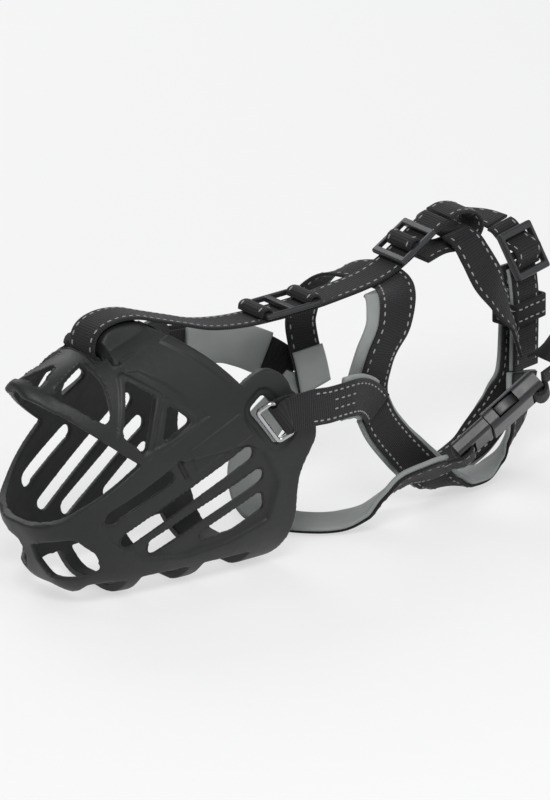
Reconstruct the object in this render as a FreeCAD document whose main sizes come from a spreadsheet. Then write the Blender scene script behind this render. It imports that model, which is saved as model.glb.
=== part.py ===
import FreeCAD, Part
import os
import math
import re

# Basket muzzle with a strap harness. Millimetres, +Z up, nose towards -X, the dog's left towards -Y.
# The origin lies on the table under the middle cross rib, on the mirror plane. The pieces are built with x
# counted from the rear corners of the nose opening and moved to the origin together at the end.

V = FreeCAD.Vector
doc = FreeCAD.newDocument("Muzzle")
sheet = doc.addObject("Spreadsheet::Sheet", "Sizes")

SIZES = [
    ("wall", 3.2), ("waist", 63.0), ("recess", 0.8), ("slotWide", 6.4), ("nose", 37.5),
    ("rearEnd", 92.0), ("ribWide", 7.0), ("ribStep", 30.0), ("ribFirst", 6.0),
    ("eyeRoom", 4.5), ("eyeLong", 5.0), ("eyeEnd", 1.2), ("keelWide", 7.0), ("lift", 9.5),
    ("webWide", 16.0), ("webThick", 1.5), ("padWide", 19.0), ("padThick", 2.1), ("gap", 0.35),
    ("seam", 0.05), ("wire", 2.2), ("ringAcross", 9.0),
    ("sliderLong", 21.0), ("longSlider", 29.0), ("rail", 1.9), ("sliderThick", 2.4), ("sliderBar", 3.2),
    ("buckleWide", 22.0), ("buckleThick", 9.2), ("femaleLong", 28.0), ("maleLong", 15.0),
    ("glideLong", 21.4), ("glideThick", 3.4), ("keeperTall", 10.0), ("keeperDeep", 10.4),
]
for row, (alias, number) in enumerate(SIZES, 1):
    sheet.set("A%d" % row, alias)
    sheet.set("B%d" % row, str(number))
    sheet.setAlias("B%d" % row, alias)
doc.recompute()


def v(alias):
    return float(sheet.get(alias))


def bind(obj, **rules):
    """Ties the named properties to expressions of the sheet."""
    words = "|".join(alias for alias, number in SIZES)
    for prop, rule in rules.items():
        obj.setExpression(prop, re.sub(r"\b(%s)\b" % words, r"Sizes.\1", rule))
    return obj


def shape(name, made):
    obj = doc.addObject("Part::Feature", name)
    obj.Shape = made
    return obj


def node(obj, label):
    obj.Label = label
    NODES.append((label, obj))
    return obj


NODES = []


def cut(name, base, tool):
    obj = doc.addObject("Part::Cut", name)
    obj.Base = base
    obj.Tool = tool
    return obj


def fuse(name, shapes):
    obj = doc.addObject("Part::MultiFuse", name)
    obj.Shapes = shapes
    return obj


def common(name, shapes):
    obj = doc.addObject("Part::MultiCommon", name)
    obj.Shapes = shapes
    return obj


# ---------------------------------------------------------------- outlines

def smooth(points, closed=False):
    curve = Part.BSplineCurve()
    curve.interpolate(Points=[V(*p) for p in points], PeriodicFlag=closed)
    return curve.toShape()


def rounded(points, radius):
    """A closed flat outline of straight runs with its corners rounded."""
    pts = [V(*p) for p in points]
    count = len(pts)
    edges = []
    ends = []
    for i, p in enumerate(pts):
        a = (pts[i - 1] - p)
        b = (pts[(i + 1) % count] - p)
        half = a.getAngle(b) / 2
        reach = min(radius / math.tan(half), 0.45 * a.Length, 0.45 * b.Length)
        r = reach * math.tan(half)
        a.normalize()
        b.normalize()
        mid = (a + b).normalize()
        centre = p + mid * (r / math.sin(half))
        ends.append((p + a * reach, centre - mid * r, p + b * reach))
    for i, (first, middle, last) in enumerate(ends):
        edges.append(Part.Arc(first, middle, last).toShape())
        edges.append(Part.LineSegment(last, ends[(i + 1) % count][0]).toShape())
    return Part.Wire(edges)


def prism(name, wire, direction):
    face = Part.Face(wire)
    return shape(name, face.extrude(V(*direction)))


def side_prism(name, points, radius):
    """Cuts through both side walls: outline in X and Z."""
    wire = rounded([(x, -80, z) for x, z in points], radius)
    return prism(name, wire, (0, 160, 0))


# ---------------------------------------------------------------- basket

STATIONS = [
    # x, half width at the waist, top, bottom
    (-37.5, 14.0, 96.0, 38.0),
    (-31.5, 21.8, 99.0, 25.0),
    (-22.0, 27.2, 101.4, 8.5),
    (-10.0, 32.0, 104.8, 2.6),
    (6.0, 35.3, 109.2, 0.2),
    (30.0, 39.0, 116.0, -0.6),
    (60.0, 43.0, 124.0, -0.6),
    (92.0, 44.2, 132.0, -0.6),
]


def blended(x, column):
    """The station values run smoothly into each other without overshoot."""
    xs = [row[0] for row in STATIONS]
    ys = [row[column] for row in STATIONS]
    steps = [(ys[i + 1] - ys[i]) / (xs[i + 1] - xs[i]) for i in range(len(xs) - 1)]
    slopes = [steps[0]]
    for a, b in zip(steps, steps[1:]):
        slopes.append(0.0 if a * b <= 0 else 2 * a * b / (a + b))
    slopes.append(steps[-1])
    i = 0
    while i < len(xs) - 2 and x > xs[i + 1]:
        i += 1
    wide = xs[i + 1] - xs[i]
    f = (x - xs[i]) / wide
    g = 1 - f
    start = ys[i] * (1 + 2 * f) * g * g + slopes[i] * wide * f * g * g
    return start + ys[i + 1] * (1 + 2 * g) * f * f - slopes[i + 1] * wide * g * f * f


def oval(x, half, top, low, inset):
    """One closed section of the basket: a half ellipse over a tapering keel."""
    mid = v("waist")
    w = half - inset
    t = top - inset
    b = low + inset
    side = [
        (0.5 * w, mid + 0.866 * (t - mid)), (0.866 * w, mid + 0.5 * (t - mid)), (w, mid),
        (0.91 * w, b + 0.5 * (mid - b)), (0.65 * w, b + 0.11 * (mid - b)), (0.38 * w, b + 0.5),
    ]
    ring = [(x, 0, t)]
    ring += [(x, -y, z) for y, z in side]
    ring += [(x, 0, b + 0.2)]
    ring += [(x, y, z) for y, z in reversed(side)]
    return Part.Wire([smooth(ring, True)])


def skin(name, inset):
    """The basket's closed form, its surface moved in by inset."""
    sections = []
    reach = v("nose") + v("rearEnd")
    count = 16
    for i in range(count + 1):
        f = i / count
        x = -v("nose") + reach * (0.35 * f + 0.65 * f * f)
        back = inset * max(0.0, 1 - (x + v("nose")) / 26)
        if i == 0:
            back = -0.5 if inset else 0.0
        if i == count and inset:
            back = 1.0
        row = [blended(x, k) for k in (1, 2, 3)]
        sections.append(shape("%sSection%d" % (name, i), oval(x + back, *row, inset)))
    loft = doc.addObject("Part::Loft", name)
    loft.Sections = sections
    loft.Solid = True
    return loft


def profile_prism():
    """Everything inside the side view's outline."""
    tail = smooth([(22.5, -90, 114), (36, -90, 104.6), (45.4, -90, 95.6), (52, -90, 87.6)])
    lug = smooth([(52, -90, 87.6), (58.5, -90, 90.6), (65.5, -90, 92), (71.5, -90, 89.5), (76, -90, 81.5)])
    rear = smooth([(76, -90, 81.5), (84.5, -90, 71), (87.4, -90, 60), (83, -90, 50), (80.2, -90, 41), (81, -90, 28), (81.2, -90, 17), (79.5, -90, 8)])
    base = Part.LineSegment(V(79.5, -90, 8), V(77.5, -90, 0)).toShape()
    under = Part.LineSegment(V(77.5, -90, 0), V(-60, -90, 0)).toShape()
    front = Part.LineSegment(V(-60, -90, 0), V(-60, -90, 130)).toShape()
    over = Part.LineSegment(V(-60, -90, 130), V(22.5, -90, 130)).toShape()
    drop = Part.LineSegment(V(22.5, -90, 130), V(22.5, -90, 114)).toShape()
    return prism("SideOutline", Part.Wire([tail, lug, rear, base, under, front, over, drop]), (0, 180, 0))


def nose_opening():
    upper = smooth([(2, -80, 63.5), (-10, -80, 73), (-19, -80, 80.6), (-27, -80, 87), (-32, -80, 89.4), (-50, -80, 90)])
    front = Part.LineSegment(V(-50, -80, 90), V(-50, -80, 37)).toShape()
    lower = smooth([(-50, -80, 37), (-36, -80, 38.6), (-29, -80, 41.8), (-21, -80, 47.3), (-12, -80, 53.7), (2, -80, 63.5)])
    return prism("NoseOpening", Part.Wire([upper, front, lower]), (0, 160, 0))


def roof_windows():
    """Four openings a side between the nose bar and the saddle, and one on the mirror plane."""
    tools = []
    centre = [(-14.5, 0), (-30.5, -6.2), (-30.5, 6.2)]
    tools.append(prism("RoofWindow0", rounded([(x, y, 80) for x, y in centre], 1.2), (0, 0, 60)))
    for sign, tag in ((-1, "L"), (1, "R")):
        near = [(-7, 6.6), (-27, 10.6), (-24, 16), (-15.8, 24.3), (-11, 27.6), (-7.6, 26.4), (-5.6, 18)]
        wire = rounded([(x, sign * y, 76) for x, y in near], 1.6)
        tools.append(prism("RoofWindow1" + tag, wire, (0, 0, 60)))
        wide = [(3.0, 97.5), (13.6, 90), (9.4, 81), (4.6, 67.6), (-5.4, 76.2), (0.4, 91)]
        slim = [(17.6, 86.6), (27.6, 77.6), (12, 70)]
        for k, points in ((2, wide), (3, slim)):
            wire = rounded([(x, 0, z) for x, z in points], 1.6)
            tools.append(prism("RoofWindow%d%s" % (k, tag), wire, (0, sign * 80, 0)))
    return tools


def slot(name, start, end):
    """A straight slot with round ends, cut through both panels."""
    wide = v("slotWide")
    a = V(start[0], -80, start[1])
    b = V(end[0], -80, end[1])
    along = (b - a).normalize()
    over = along.cross(V(0, 1, 0)) * (wide / 2)
    tip = along * (wide / 2)
    edges = [
        Part.LineSegment(a + over, b + over).toShape(),
        Part.Arc(b + over, b + tip, b - over).toShape(),
        Part.LineSegment(b - over, a - over).toShape(),
        Part.Arc(a - over, a - tip, a + over).toShape(),
    ]
    return prism(name, Part.Wire(edges), (0, 160, 0))


def side_slots():
    tools = [
        slot("SlotOne", (-9.5, 42), (15.6, 54.7)),
        slot("SlotTwo", (-0.4, 29.2), (52.8, 58.2)),
        slot("SlotThree", (12.4, 23.8), (58.6, 46.8)),
    ]
    tools.append(side_prism("SlotFour", [(25.5, 20.6), (62, 39.4), (64.2, 31), (50, 23.6)], 2.2))
    return tools


def bottom_gaps():
    """Openings between the cross ribs."""
    tools = []
    wide = v("ribWide")
    step = v("ribStep")
    ribs = [-17.5, v("ribFirst"), v("ribFirst") + step, v("ribFirst") + 2 * step, 78]
    for k in range(4):
        x0 = ribs[k] + wide / 2
        x1 = ribs[k + 1] - wide / 2
        half = 34
        if x1 - x0 < wide:
            continue
        box = rounded([(x0, -half, -3), (x1, -half, -3), (x1, half, -3), (x0, half, -3)], 3)
        tools.append(prism("BottomGap%d" % k, box, (0, 0, 3 + v("lift"))))
    return tools


def chin_windows():
    """An opening on each side of the chin's keel, between the lip and the first cross rib."""
    keel = v("keelWide") / 2
    side = [(keel, 20.5), (keel + 0.8, 28.4), (22.4, 33.4), (25.4, 25), (24.6, 18.4), (19.6, 14.6), (keel + 4, 13.2)]
    tools = []
    for sign, tag in ((-1, "L"), (1, "R")):
        wire = rounded([(-60, sign * y, z) for y, z in side], 2)
        tools.append(prism("ChinWindow" + tag, wire, (52, 0, 0)))
    return tools


def strap_eye():
    """The slot through the saddle that the forehead strap loops through, round the rear edge."""
    x1 = v("eyeEnd")
    x0 = x1 - v("eyeLong")
    half = v("webWide") / 2 + v("eyeRoom")
    wire = rounded([(x0, -half, 90), (x1, -half, 90), (x1, half, 90), (x0, half, 90)], 1.4)
    return prism("StrapEye", wire, (0, 0, 40))


def roof(x, y):
    """Height of the basket's outer surface above the waist."""
    half, top = blended(x, 1), blended(x, 2)
    return v("waist") + (top - v("waist")) * math.sqrt(1 - (y / half) ** 2)


def saddle():
    """A low rise on the saddle that carries the forehead strap."""
    wires = []
    for x, top in ((1.5, 110.5), (5, 114.1), (11, 115.4), (17, 115.2), (22.5, 114.2)):
        edge = 17.5
        crown = [(-edge, roof(x, edge) - 1.5), (-13, top - 2.2), (-7, top - 0.4), (0, top), (7, top - 0.4), (13, top - 2.2),
                 (edge, roof(x, edge) - 1.5)]
        below = [(edge, crown[0][1]), (10, roof(x, 10) - 2), (0, roof(x, 0) - 2), (-10, roof(x, 10) - 2), (-edge, crown[0][1])]
        wires.append(Part.Wire([smooth([(x, y, z) for y, z in crown]), smooth([(x, y, z) for y, z in below])]))
    return shape("Saddle", Part.makeLoft(wires, True))


def field(name):
    """The slotted field of each panel sits a little below the panel's face."""
    points = [(-16, 40), (-10.6, 31), (-2, 23.5), (9, 18.2), (28, 15.2), (47, 17.4), (67, 24.5), (70, 42), (61, 58.5), (53, 63.4), (18, 61)]
    return side_prism(name, points, 6)


def lug_frame():
    """Where the wire ring lies: along its legs, across them, and outwards."""
    along = V(0.59, 0, -0.807).normalize()
    across = V(0.807, 0, 0.59).normalize()
    return V(64.6, 0, 70.9), along, across


def ring_long():
    """The ring is as long inside as the strap is wide, with room to tilt."""
    return v("webWide") + 2 * v("wire") + 3 * v("gap")


def lug_hole(name, grow):
    """The opening round the ring."""
    centre, along, across = lug_frame()
    half_long = ring_long() / 2 + v("gap") + grow
    half_across = v("ringAcross") / 2 + v("gap") + grow
    corners = []
    for a, b in ((-1, -1), (1, -1), (1, 1), (-1, 1)):
        p = centre + along * (a * half_long) + across * (b * half_across)
        corners.append((p.x, -80, p.z))
    return prism(name, rounded(corners, 2.4 + grow), (0, 160, 0))


def basket():
    outer = skin("OuterForm", 0.0)
    inner = skin("InnerForm", v("wall"))
    shell = cut("Shell", outer, inner)
    trimmed = fuse("SaddledShell", [common("TrimmedShell", [shell, profile_prism()]), saddle()])
    tools = [nose_opening(), strap_eye(), lug_hole("LugHole", 0)] + chin_windows()
    tools += roof_windows() + side_slots() + bottom_gaps()
    opened = cut("OpenedShell", trimmed, fuse("Openings", tools))
    under = skin("RecessForm", v("recess"))
    areas = [field("SlotField"), lug_hole("LugRecess", 3.6)]
    band = cut("RecessBand", fuse("FieldArea", areas), under)
    return node(cut("BasketBody", opened, band), "basket")


# ---------------------------------------------------------------- straps

def route(points, sides, step=6.0):
    """Stations along a strap: distance, point, width direction and face normal."""
    line = Part.BSplineCurve()
    line.interpolate(Points=[V(*p) for p in points])
    length = line.length()
    count = max(3, int(round(length / step)) + 1)
    marks = [line.parameter(V(*p)) for p in points]
    out = []
    for k in range(count):
        distance = length * k / (count - 1)
        u = line.parameterAtDistance(distance, line.FirstParameter)
        out.append((distance,) + station(line, marks, sides, u))
    return out


def station(line, marks, sides, u):
    i = 0
    while i < len(marks) - 2 and u > marks[i + 1]:
        i += 1
    f = (u - marks[i]) / (marks[i + 1] - marks[i])
    f = min(1.0, max(0.0, f))
    f = f * f * (3 - 2 * f)
    side = V(*sides[i]).normalize() * (1 - f) + V(*sides[i + 1]).normalize() * f
    along = line.tangent(u)[0]
    side = (side - along * side.dot(along)).normalize()
    return line.value(u), side, along.cross(side).normalize()


def stretch(stations, first=0.0, last=0.0):
    """The stations more than first from the start and last from the end."""
    length = stations[-1][0]
    return [s for s in stations if first <= s[0] <= length - last]


def ribbon(stations, width, low, high, shift=0.0):
    """A flat strap between two heights over its centre line, along its face normal."""
    wires = []
    for distance, p, side, face in stations:
        half = side * (width / 2)
        p = p + side * shift
        corners = [p - half + face * low, p + half + face * low, p + half + face * high, p - half + face * high]
        wires.append(Part.makePolygon(corners + [corners[0]]))
    return Part.makeLoft(wires, True, True)


def webbing(label, stations):
    t = v("webThick") / 2
    return node(shape(label, ribbon(stations, v("webWide"), -t, t)), label)


def lining(label, stations, sign, wide="padWide", shift=0.0):
    """A soft lining sewn to one face of the webbing."""
    near = v("webThick") / 2 + v("seam")
    far = near + v("padThick")
    low, high = sorted((sign * near, sign * far))
    return node(shape(label, ribbon(stations, v(wide), low, high, shift)), label)


def mirrored(points):
    return [(x, -y, z) for x, y, z in points]


X = (1, 0, 0)
Y = (0, 1, 0)
Z = (0, 0, 1)


def turn_round(centre, radius, first, last, count, plane):
    """Points on an arc round a bar; plane gives the two unit directions of the arc."""
    a, b = plane
    out = []
    for k in range(count):
        t = math.radians(first + (last - first) * k / (count - 1))
        p = centre + a * (radius * math.cos(t)) + b * (radius * math.sin(t))
        out.append((p.x, p.y, p.z))
    return out


def forehead_strap():
    """Up through the saddle's eye, back over the saddle and on over the forehead through both sliders."""
    under = [(34, 0, 107.0), (23.5, 0, 107.6), (14, 0, 105.4), (5, 0, 102.6), (1, 0, 102.4)]
    turn = [(-1.2, 0, 104.4), (-1.6, 0, 108), (-0.9, 0, 111.4), (1.2, 0, 114.2)]
    top = [(5, 0, 116.2), (11, 0, 117.2), (17, 0, 116.9), (24, 0, 115.4), (32, 0, 112.4), (47, 0, 106.9),
           (61, 0, 102), (78, 0, 99), (95, 0, 98), (112, 0, 98), (130, 0, 99), (149, 0, 101), (160, 0, 104.2),
           (170, 0, 109.2), (180, 0, 115.6), (187.6, 0, 120.0)]
    points = under + turn + top
    webbing("forehead_strap", route(points, [Y] * len(points), 3.0))


def crown_loop():
    """The forehead strap's rear end folds back round the crown strap to the rear slider."""
    points = [(188.6, 0, 120.6), (195, 0, 121.8), (203, 0, 119.6), (206.6, 0, 114), (203.4, 0, 108.2),
              (195, 0, 105.8), (186, 0, 106.2), (177, 0, 104.2)]
    webbing("crown_loop", route(points, [Y] * len(points), 3.0))


def brow_strap():
    """Arch over the head between the two junctions, under the forehead strap, lined within."""
    half = [(138, -20.6, 50), (136, -21.0, 60), (135.4, -24.3, 70), (136.5, -27, 79), (142, -27.5, 89),
            (148, -22.5, 96.6), (155, -12, 100.4)]
    lean = [X] * 6 + [(0.97, 0, 0.22)]
    stations = route(half + [(157, 0, 100.8)] + mirrored(reversed(half)),
                     lean + [(0.94, 0, 0.33)] + lean[::-1], 5.0)
    length = stations[-1][0]
    webbing("brow_strap", stations)
    lining("brow_lining_left", stretch(stations, 8.0, length / 2 + 9.0), 1, shift=-4.0)
    lining("junction_pad_right", stretch(stations, length - 18.0), 1, "webWide")


def ring_axis(sign):
    """Centre of the ring's rear leg, along and across the legs."""
    centre, along, across = lug_frame()
    reach = (v("ringAcross") - v("wire")) / 2
    front = centre - across * reach
    rear = centre + across * reach
    front.y = sign * 43.4
    rear.y = sign * 46.6
    return front, rear, along


def lug_ring(sign, label):
    """Rectangular wire ring: its front leg sits in the lug hole, its rear leg holds the cheek strap."""
    front, rear, along = ring_axis(sign)
    half = along * ((ring_long() - v("wire")) / 2)
    corners = [front - half, front + half, rear + half, rear - half]
    path = rounded([tuple(p) for p in corners], 2.0)
    edge = path.Edges[1]
    start = edge.valueAt(edge.FirstParameter)
    circle = Part.Circle(start, edge.tangentAt(edge.FirstParameter), v("wire") / 2).toShape()
    solid = path.makePipeShell([Part.Wire([circle])], True, True)
    return node(shape(label, solid), label)


def cheek_strap(sign, tag):
    """From its eye on the ring back to the junction behind the cheek; lined on the dog's side."""
    front, rear, along = ring_axis(sign)
    back = (V(1, 0, 0) - along * along.x).normalize()
    r = v("wire") / 2 + v("gap") + v("webThick") / 2 + 0.3
    eye = turn_round(rear, r, 60, 300, 7, (back, V(0, -sign, 0)))
    up = (-along.x, 0, -along.z)
    inner = [(93, sign * 45.2, 71.6), (82, sign * 45.7, 72.6)]
    join = 26.9 if sign < 0 else 29.3
    outer = [(80, sign * 48.4, 74.2), (91, sign * 47.2, 72.6), (101, sign * 45.2, 71.6), (109, sign * 42.8, 70.4),
             (118, sign * 37.4, 66.8), (127, sign * (join + 4.5), 61), (134, sign * join, 54.5)]
    sides = [(-0.25, 0, 0.97), (-0.4, 0, 0.92)] + [up] * len(eye)
    sides += [(-0.45, 0, 0.9), (-0.2, 0, 0.98), Z, Z, (0.25, 0, 0.97), (0.55, 0, 0.83), (0.8, 0, 0.6)]
    stations = route(inner + eye + outer, sides, 2.0)
    webbing("cheek_strap_" + tag, stations)
    length = stations[-1][0]
    lining("cheek_lining_" + tag, stretch(stations, length - 41.0, 9.0), sign)


def neck_strap_left():
    """From the left junction down, along the table and up behind the neck, its lining upwards."""
    points = [(134.3, -25.0, 54.0), (140, -23.6, 44.5), (150, -21.2, 33), (160, -19.4, 22.6), (170, -18, 13),
              (180, -14.5, 6.2), (190, -12, 3.2), (200, -10, 2.8), (212, -8.5, 5.2), (221, -7.4, 12),
              (228, -6.2, 24), (231.6, -5.2, 41)]
    sides = [(0.8, 0, 0.6), (0.75, 0, 0.65), (0.7, 0, 0.7), (0.6, -0.2, 0.75), (0.35, -0.55, 0.75),
             (0.15, -0.85, 0.5), (0, -0.99, 0.12), (0, -0.99, 0.06), (-0.2, -0.9, 0.4), (-0.5, -0.7, 0.5),
             (-0.8, -0.45, 0.3), (-0.98, -0.2, 0.05)]
    stations = route(points, sides, 5.0)
    webbing("neck_strap_left", stations)
    lining("neck_lining_left", stations, -1)


def buckle_place():
    """The buckle's frame: X from the plug's bar to the socket's bar, Y across, Z through its thickness."""
    base = V(176.8, -30.0, 26.7)
    a = V(0.786, -0.205, 0.583).normalize()
    s = V(-0.567, -0.615, 0.548)
    s = (s - a * s.dot(a)).normalize()
    n = a.cross(s)
    matrix = FreeCAD.Matrix(a.x, s.x, n.x, base.x, a.y, s.y, n.y, base.y, a.z, s.z, n.z, base.z, 0, 0, 0, 1)
    return FreeCAD.Placement(matrix)


def neck_strap_right():
    """From the right junction down, across the table and up over the bar of the buckle's plug."""
    place = buckle_place()
    s = tuple(place.Rotation.multVec(V(0, 1, 0)))
    h = v("buckleThick") / 2 - 1.4 + v("gap") + v("webThick") / 2 + 0.2
    bar = [(-12, 0, 0.5), (-6.5, 0, 2.2), (-3.5, 0, h - 0.3), (-0.7, 0, h + 0.1), (2.3, 0, h), (3.5, 0, h - 1.4), (3.6, 0, 0.5)]
    points = [(134.3, 24.8, 54.0), (128.6, 28.4, 45), (118, 32, 32.5), (108, 30, 15), (104, 18, 4), (106, 5, 1.6),
              (113.3, -7.7, 1.6), (124, -15.5, 2.2), (133, -22, 6.5), (139, -26.5, 14), (146, -30, 20.0), (155, -31.4, 21.6)]
    sides = [(-0.8, 0, 0.6)] * 2 + [(-0.75, 0.1, 0.62), (-0.85, 0.1, 0.3), (-1, 0, 0), (-0.94, -0.34, 0),
                                    (-0.75, -0.66, 0), (-0.58, -0.79, 0), (-0.6, -0.75, 0.1), (-0.57, -0.68, 0.3),
                                    (-0.57, -0.62, 0.5)] + [s] * 8
    points += [tuple(place.multVec(V(*p))) for p in bar]
    stations = route(points, sides, 3.0)
    webbing("neck_strap_right", stations)
    lining("neck_lining_right", stretch(stations, 0.0, 24.0), -1)


def rear_strap():
    """Two lined layers hang from the rear adjuster."""
    out = (0.98, 0.2, 0)
    line = [(232.2, -2.4, 88), (232.4, -3.6, 83), (232.6, -4.6, 74), (232.4, -4.9, 62), (232.0, -5, 43)]
    outer = route(line, [out] * 5, 5.0)
    webbing("rear_strap_outer", outer)
    lining("rear_lining_outer", outer, -1, "webWide")
    line = [(231.4, 2.2, 88), (231.2, 1.1, 83), (230.9, 0.5, 74), (230.6, 0.5, 62), (229.8, 1.4, 42), (226.6, 4.2, 27),
            (219.5, 8, 14.5), (210, 9.2, 6.8), (197, 9.8, 3.8), (184, 10, 3.6)]
    back = (-0.98, -0.2, 0.05)
    sides = [back] * 5 + [(-0.8, 0.35, 0.4), (-0.45, 0.75, 0.4), (-0.2, 0.95, 0.2), Y, Y]
    inner = route(line, sides, 5.0)
    webbing("rear_strap_inner", inner)
    lining("rear_lining_inner", inner, 1, "webWide")


def crown_strap():
    """Through the crown loop: one end hangs beside the rear strap, the other runs to the rear adjuster."""
    low = [(219.4, -16, 58), (215, -16.6, 70.5), (208, -16.8, 83), (201.5, -15.8, 95), (197.6, -13, 104.4),
           (196, -9.4, 109.8), (195, -3.4, 112.0)]
    side = [(0.7, 0.6, -0.3), (0.75, 0.4, 0), (0.9, 0.1, 0.3), (0.95, 0, 0.25), X, X, X]
    webbing("crown_strap_left", route(low, side, 5.0))
    high = [(195.0, -2.8, 112.1), (195.6, 7, 112.9), (199.5, 15.5, 112.0), (209, 20.8, 109.6), (220, 20, 107.2),
            (227.5, 14.8, 105.4), (229.4, 10.4, 104.4)]
    side = [X, (0.98, -0.15, 0), (0.8, -0.6, 0), (0.2, -0.97, 0), (-0.45, -0.9, 0), (-0.85, -0.5, 0), (-0.97, -0.25, 0)]
    webbing("crown_strap_right", route(high, side, 3.0))


# ---------------------------------------------------------------- adjusters

def placed(obj, centre, along, side):
    a = V(*along).normalize()
    s = V(*side)
    s = (s - a * s.dot(a)).normalize()
    n = a.cross(s)
    c = V(*centre)
    m = FreeCAD.Matrix(a.x, s.x, n.x, c.x, a.y, s.y, n.y, c.y, a.z, s.z, n.z, c.z, 0, 0, 0, 1)
    obj.Placement = FreeCAD.Placement(m)
    return obj


def box(name, **rules):
    return bind(doc.addObject("Part::Box", name), **rules)


def at(obj, x=None, y=None, z=None):
    rules = {}
    for key, rule in (("x", x), ("y", y), ("z", z)):
        if rule:
            rules["Placement.Base." + key] = rule
    return bind(obj, **rules)


def rounded_edges(name, base, radius, pick):
    """Rounds the edges that pick accepts."""
    doc.recompute()
    edges = [(i, radius, radius) for i, e in enumerate(base.Shape.Edges, 1) if pick(e)]
    obj = doc.addObject("Part::Fillet", name)
    obj.Base = base
    obj.Edges = edges
    return obj


def frame_plate(label, long, thick):
    """A flat moulded frame with three cross bars, its windows as wide as the webbing."""
    wide = "(webWide + 2 * gap + 2 * rail)"
    plate = box(label + "Plate", Length=long, Width=wide, Height=thick)
    at(plate, x="-%s / 2" % long, y="-%s / 2" % wide, z="-%s / 2" % thick)
    round_plate = rounded_edges(label + "Round", plate, 1.0, lambda e: True)
    holes = []
    for k, rule in ((0, "-%s / 2 + sliderBar" % long), (1, "sliderBar / 2")):
        hole = box(label + "Hole%d" % k, Length="%s / 2 - 1.5 * sliderBar" % long, Width="webWide + 2 * gap",
                   Height=thick + " * 3")
        at(hole, x=rule, y="-webWide / 2 - gap", z="-%s * 1.5" % thick)
        holes.append(hole)
    return cut(label, round_plate, fuse(label + "Holes", holes))


def humps(label, thick, centres):
    """Webbing folded over the bars of a frame."""
    t = v("webThick")
    z = v(thick) / 2 + v("gap") + t / 2
    reach = v("sliderBar") / 2 + v("gap") + t / 2
    pieces = []
    for c in centres:
        path = [(c - reach, 0, -0.5), (c - reach * 0.8, 0, z * 0.8), (c, 0, z + 0.3), (c + reach * 0.8, 0, z * 0.8),
                (c + reach, 0, -0.5)]
        pieces.append(ribbon(route(path, [Y] * 5, 1.6), v("webWide"), -t / 2, t / 2))
    return shape(label, Part.makeCompound(pieces) if len(pieces) > 1 else pieces[0])


def adjuster(frame_label, webbing_label, sizes, pose, centres):
    long, thick = sizes
    node(placed(frame_plate(frame_label, long, thick), *pose), frame_label)
    node(placed(humps(webbing_label, thick, centres), *pose), webbing_label)


def adjusters():
    """A long slider on the forehead, a short one before the crown and the rear adjuster."""
    lift = v("webThick") / 2 + v("gap") + v("sliderThick") / 2
    bar = (v("longSlider") - v("sliderBar")) / 2
    pose = ((103.3, 0, 98.0 + lift + 0.4), X, Y)
    adjuster("slider_front_frame", "slider_front_webbing", ("longSlider", "sliderThick"), pose, (-bar, bar))
    along = V(10, 0, 5.7).normalize()
    base = V(171.6, 0, 110.1) + V(-along.z, 0, along.x) * (lift + 0.7)
    pose = (tuple(base), tuple(along), Y)
    adjuster("slider_rear_frame", "slider_rear_webbing", ("sliderLong", "sliderThick"), pose, (0,))
    pose = ((232.2, -3.0, 94.6), (0.15, -0.47, -0.87), (0.98, 0.2, 0.06))
    adjuster("tri_glide", "tri_glide_webbing", ("glideLong", "glideThick"), pose, (0,))


def band_outline(half, deep, radius):
    return rounded([(-half, -deep, 0), (half, -deep, 0), (half, deep, 0), (-half, deep, 0)], radius)


def strap_keeper():
    """A sewn band round both layers of the rear strap."""
    t = v("webThick")
    half = v("webWide") / 2 + 4 * v("gap")
    deep = v("keeperDeep") / 2
    tall = V(0, 0, v("keeperTall"))
    outer = Part.Face(band_outline(half + t, deep + t, 2)).extrude(tall)
    inner = Part.Face(band_outline(half, deep, 1)).extrude(tall)
    obj = shape("strap_keeper", outer.cut(inner))
    obj.Placement = FreeCAD.Placement(V(231.6, -1.2, 64), FreeCAD.Rotation(V(0, 0, 1), 11.5))
    return node(obj, "strap_keeper")


# ---------------------------------------------------------------- buckle

def block(x, y, z, radius=0.0, pick=None):
    """A box between two values on each axis, with the edges that pick accepts rounded."""
    made = Part.makeBox(x[1] - x[0], y[1] - y[0], z[1] - z[0], V(x[0], y[0], z[0]))
    if radius:
        made = made.makeFillet(radius, [e for e in made.Edges if pick is None or pick(e)])
    return made


def lengthwise(edge):
    return abs(edge.tangentAt(edge.FirstParameter).x) > 0.9


def seated(label, solid):
    """Puts a buckle piece in the buckle's frame."""
    obj = shape(label, solid)
    obj.Placement = buckle_place()
    return node(obj, label)


def buckle_socket(w, h):
    """A hollow body with a mouth, a press window on each edge and a bar for its webbing."""
    mouth = v("maleLong")
    end = mouth + v("femaleLong")
    body = block((mouth, end), (-w, w), (-h, h), 3.0, lengthwise)
    cavity = block((mouth - 1, end - 9), (-w + 2, w - 2), (-3.1, 3.1))
    windows = block((mouth + 5, mouth + 16), (-w - 1, w + 1), (-2.9, 2.9))
    eye = block((end - 6.5, end - 3.0), (-v("webWide") / 2 - v("gap"), v("webWide") / 2 + v("gap")), (-h - 1, h + 1))
    seated("buckle_female", body.cut(Part.makeCompound([cavity, windows, eye])))


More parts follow.
